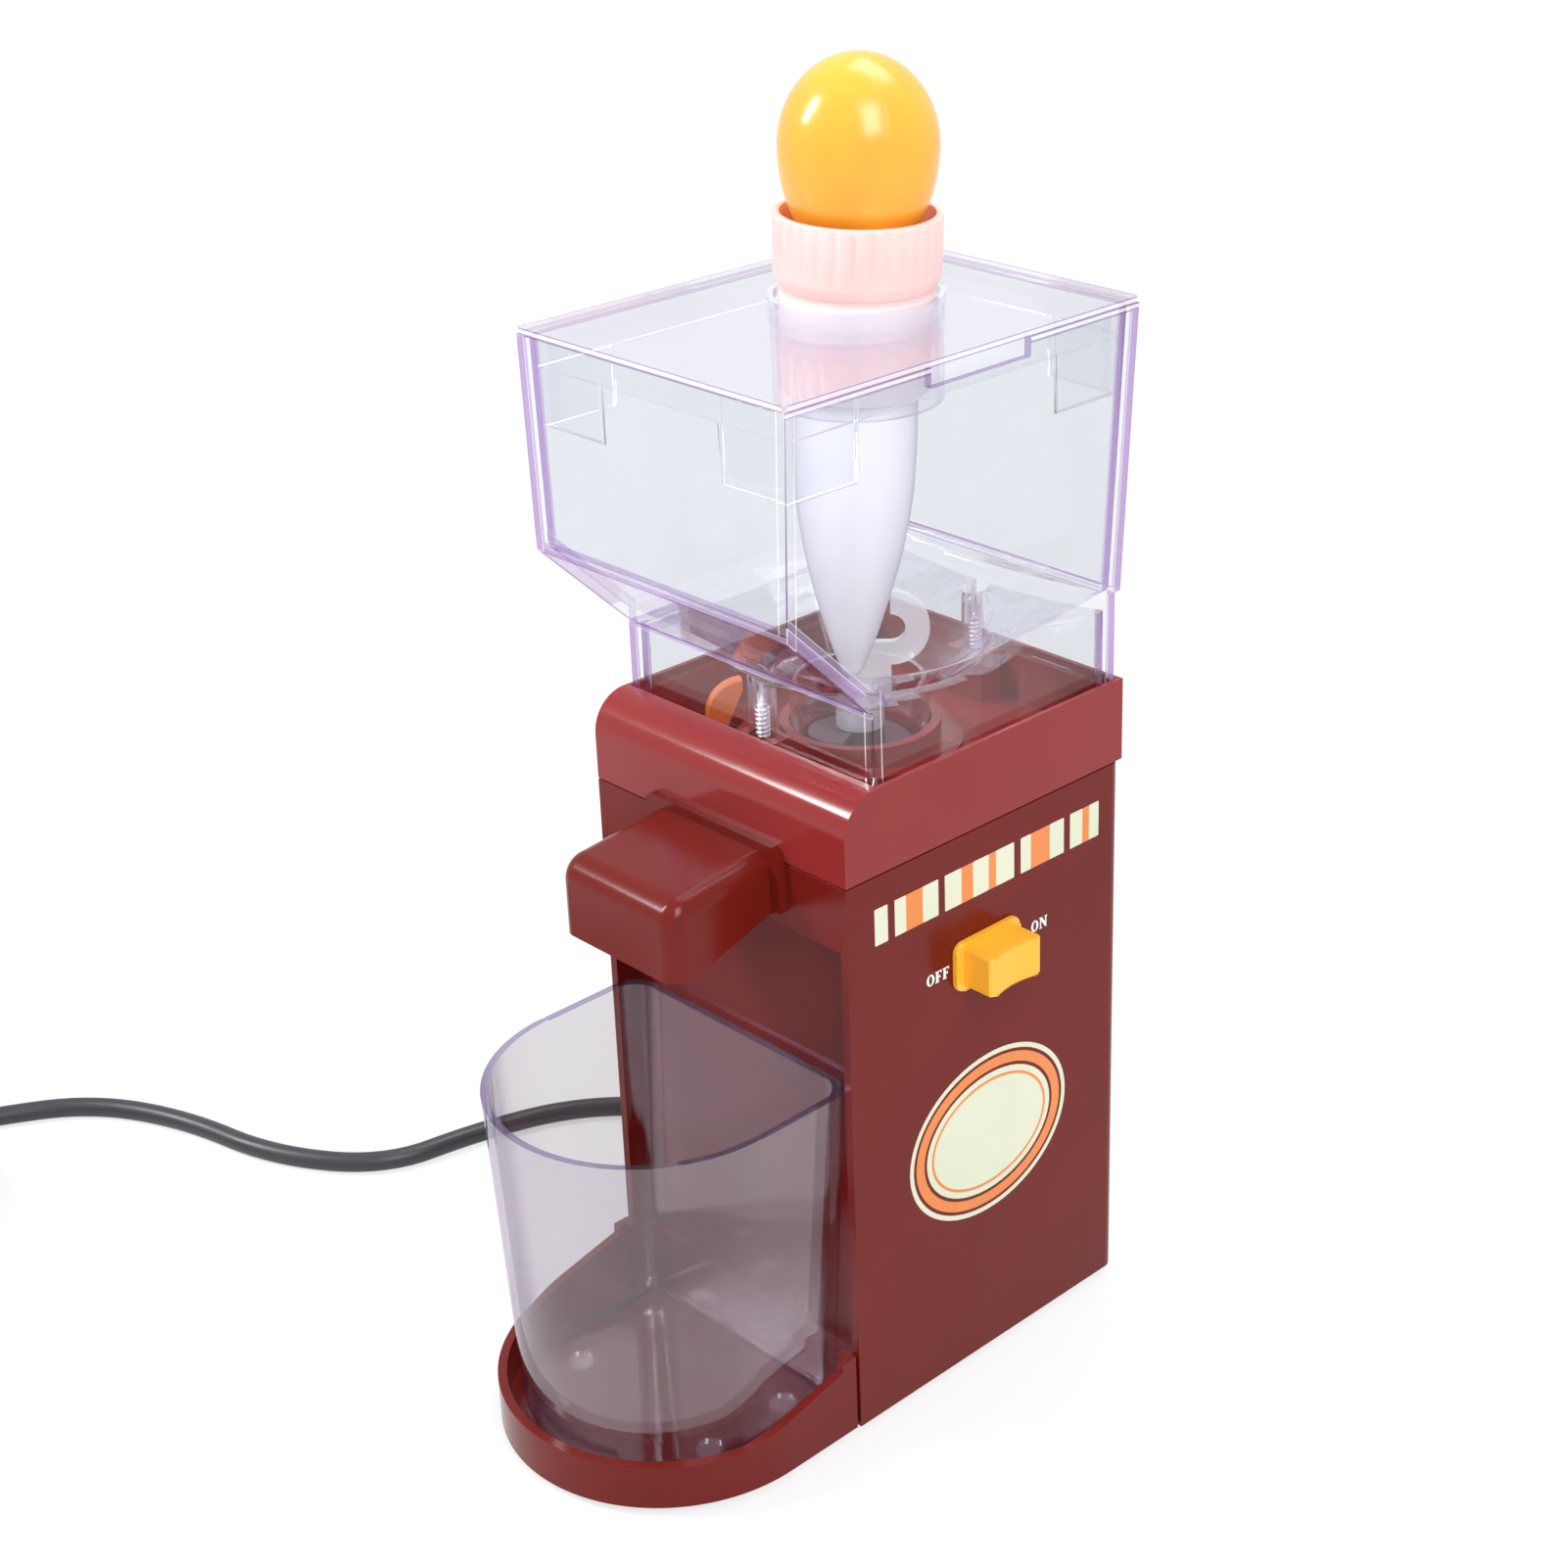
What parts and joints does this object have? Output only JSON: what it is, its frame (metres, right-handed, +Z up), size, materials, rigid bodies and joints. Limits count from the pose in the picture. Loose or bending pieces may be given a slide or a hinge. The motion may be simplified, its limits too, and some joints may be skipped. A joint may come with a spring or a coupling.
{
  "type": "nut butter grinder",
  "caption": "Upright electric nut grinder: clear hopper with a dropper on a red tower, slide switch, spout and clear cup in a front tray.",
  "frame": {"origin": "on the floor, under the centre of the bounding box of the machine without its cord", "axes": "+Z up the tower, -Y towards the spout and cup (front), +X towards the side with the slide switch"},
  "size_m": [0.3444, 0.3868, 0.355],
  "materials": {
    "red_casing": "glossy injection-moulded",
    "rubber_feet": "matt",
    "steel_screw": "bright",
    "yellow_slider": "glossy",
    "black_plastic": "matt",
    "clear_hopper": "clear polished plastic",
    "tinted_cup": "faintly tinted clear plastic",
    "yellow_bulb": "smooth satin silicone",
    "pink_collar": "satin",
    "milky_tube": "translucent milky",
    "orange_lever": "glossy",
    "burr_steel": "ground",
    "white_nylon": "satin",
    "mauve_nylon": "satin",
    "shaft_steel": "turned",
    "bronze_bush": "satin",
    "motor_zinc": "zinc plated",
    "magnet_dark": "sintered",
    "copper_winding": "varnished",
    "green_board": "lacquered",
    "grey_cord": "satin PVC"
  },
  "bodies": {
    "root": {"tower_shell": "red_casing", "front_panel": "red_casing", "top_cover": "red_casing", "base_plate": "red_casing", "base_screws": "steel_screw", "feet": "rubber_feet", "cup_tray": "red_casing", "spout": "red_casing", "spout_screws": "steel_screw", "switch_body": "black_plastic", "hopper": "clear_hopper", "hopper_screws": "steel_screw", "grinding_chamber": "white_nylon", "chamber_deck": "black_plastic", "lower_deck": "shaft_steel", "deck_posts": "black_plastic", "deck_screws": "steel_screw", "shaft_bushes": "bronze_bush", "idler_pin": "shaft_steel", "idler_washers": "white_nylon", "motor_can": "motor_zinc", "motor_end_cap": "black_plastic", "motor_magnets": "magnet_dark", "circuit_board": "green_board", "strain_relief": "grey_cord", "cord": "grey_cord", "cord_coil": "grey_cord", "cord_tail": "grey_cord", "plug_body": "grey_cord", "plug_pins": "steel_screw"},
    "slider": {"switch_slider": "yellow_slider"},
    "lever": {"adjust_ring": "orange_lever", "fixed_burr": "burr_steel"},
    "lid": {"hopper_lid": "clear_hopper"},
    "dropper": {"dropper_bulb": "yellow_bulb", "dropper_collar": "pink_collar", "dropper_body": "milky_tube"},
    "cup": {"cup": "tinted_cup"},
    "shaft": {"main_shaft": "shaft_steel", "feed_screw": "mauve_nylon", "agitator": "milky_tube", "rotor_burr": "burr_steel", "drive_gear": "white_nylon", "shaft_spacer": "white_nylon"},
    "idler": {"idler_gear": "white_nylon"},
    "motor": {"motor_shaft": "shaft_steel", "motor_pinion": "bronze_bush", "motor_armature": "copper_winding", "cooling_fan": "black_plastic"}
  },
  "joints": [
    {"name": "switch_slide", "type": "slide", "parent": "root", "child": "slider", "axis": [0, 1, 0], "range_m": [0, 0.004]},
    {"name": "grind_lever", "type": "hinge", "parent": "root", "child": "lever", "pos_m": [-0.00543, 0.03465, 0.165], "axis": [0, 0, 1], "range_deg": [-36, 0]},
    {"name": "lid_lift", "type": "slide", "parent": "root", "child": "lid", "axis": [0, 0, 1], "range_m": [0, 0.04]},
    {"name": "dropper_pull", "type": "slide", "parent": "lid", "child": "dropper", "axis": [0.0259, 0.0259, 0.9993], "range_m": [0, 0.12]},
    {"name": "cup_lift", "type": "slide", "parent": "root", "child": "cup", "axis": [0, 0, 1], "range_m": [0, 0.034]},
    {"name": "shaft_spin", "type": "hinge", "parent": "root", "child": "shaft", "pos_m": [-0.00543, 0.03465, 0.14], "axis": [0, 0, 1], "continuous": true},
    {"name": "idler_spin", "type": "hinge", "parent": "root", "child": "idler", "pos_m": [-0.02822, 0.05415, 0.125], "axis": [0, 0, 1], "continuous": true},
    {"name": "motor_spin", "type": "hinge", "parent": "root", "child": "motor", "pos_m": [-0.00543, 0.04665, 0.07], "axis": [0, 0, 1], "continuous": true}
  ],
  "couplings": [
    {"joint": "idler_spin", "follows": "shaft_spin", "ratio": -4},
    {"joint": "motor_spin", "follows": "shaft_spin", "ratio": 16}
  ]
}
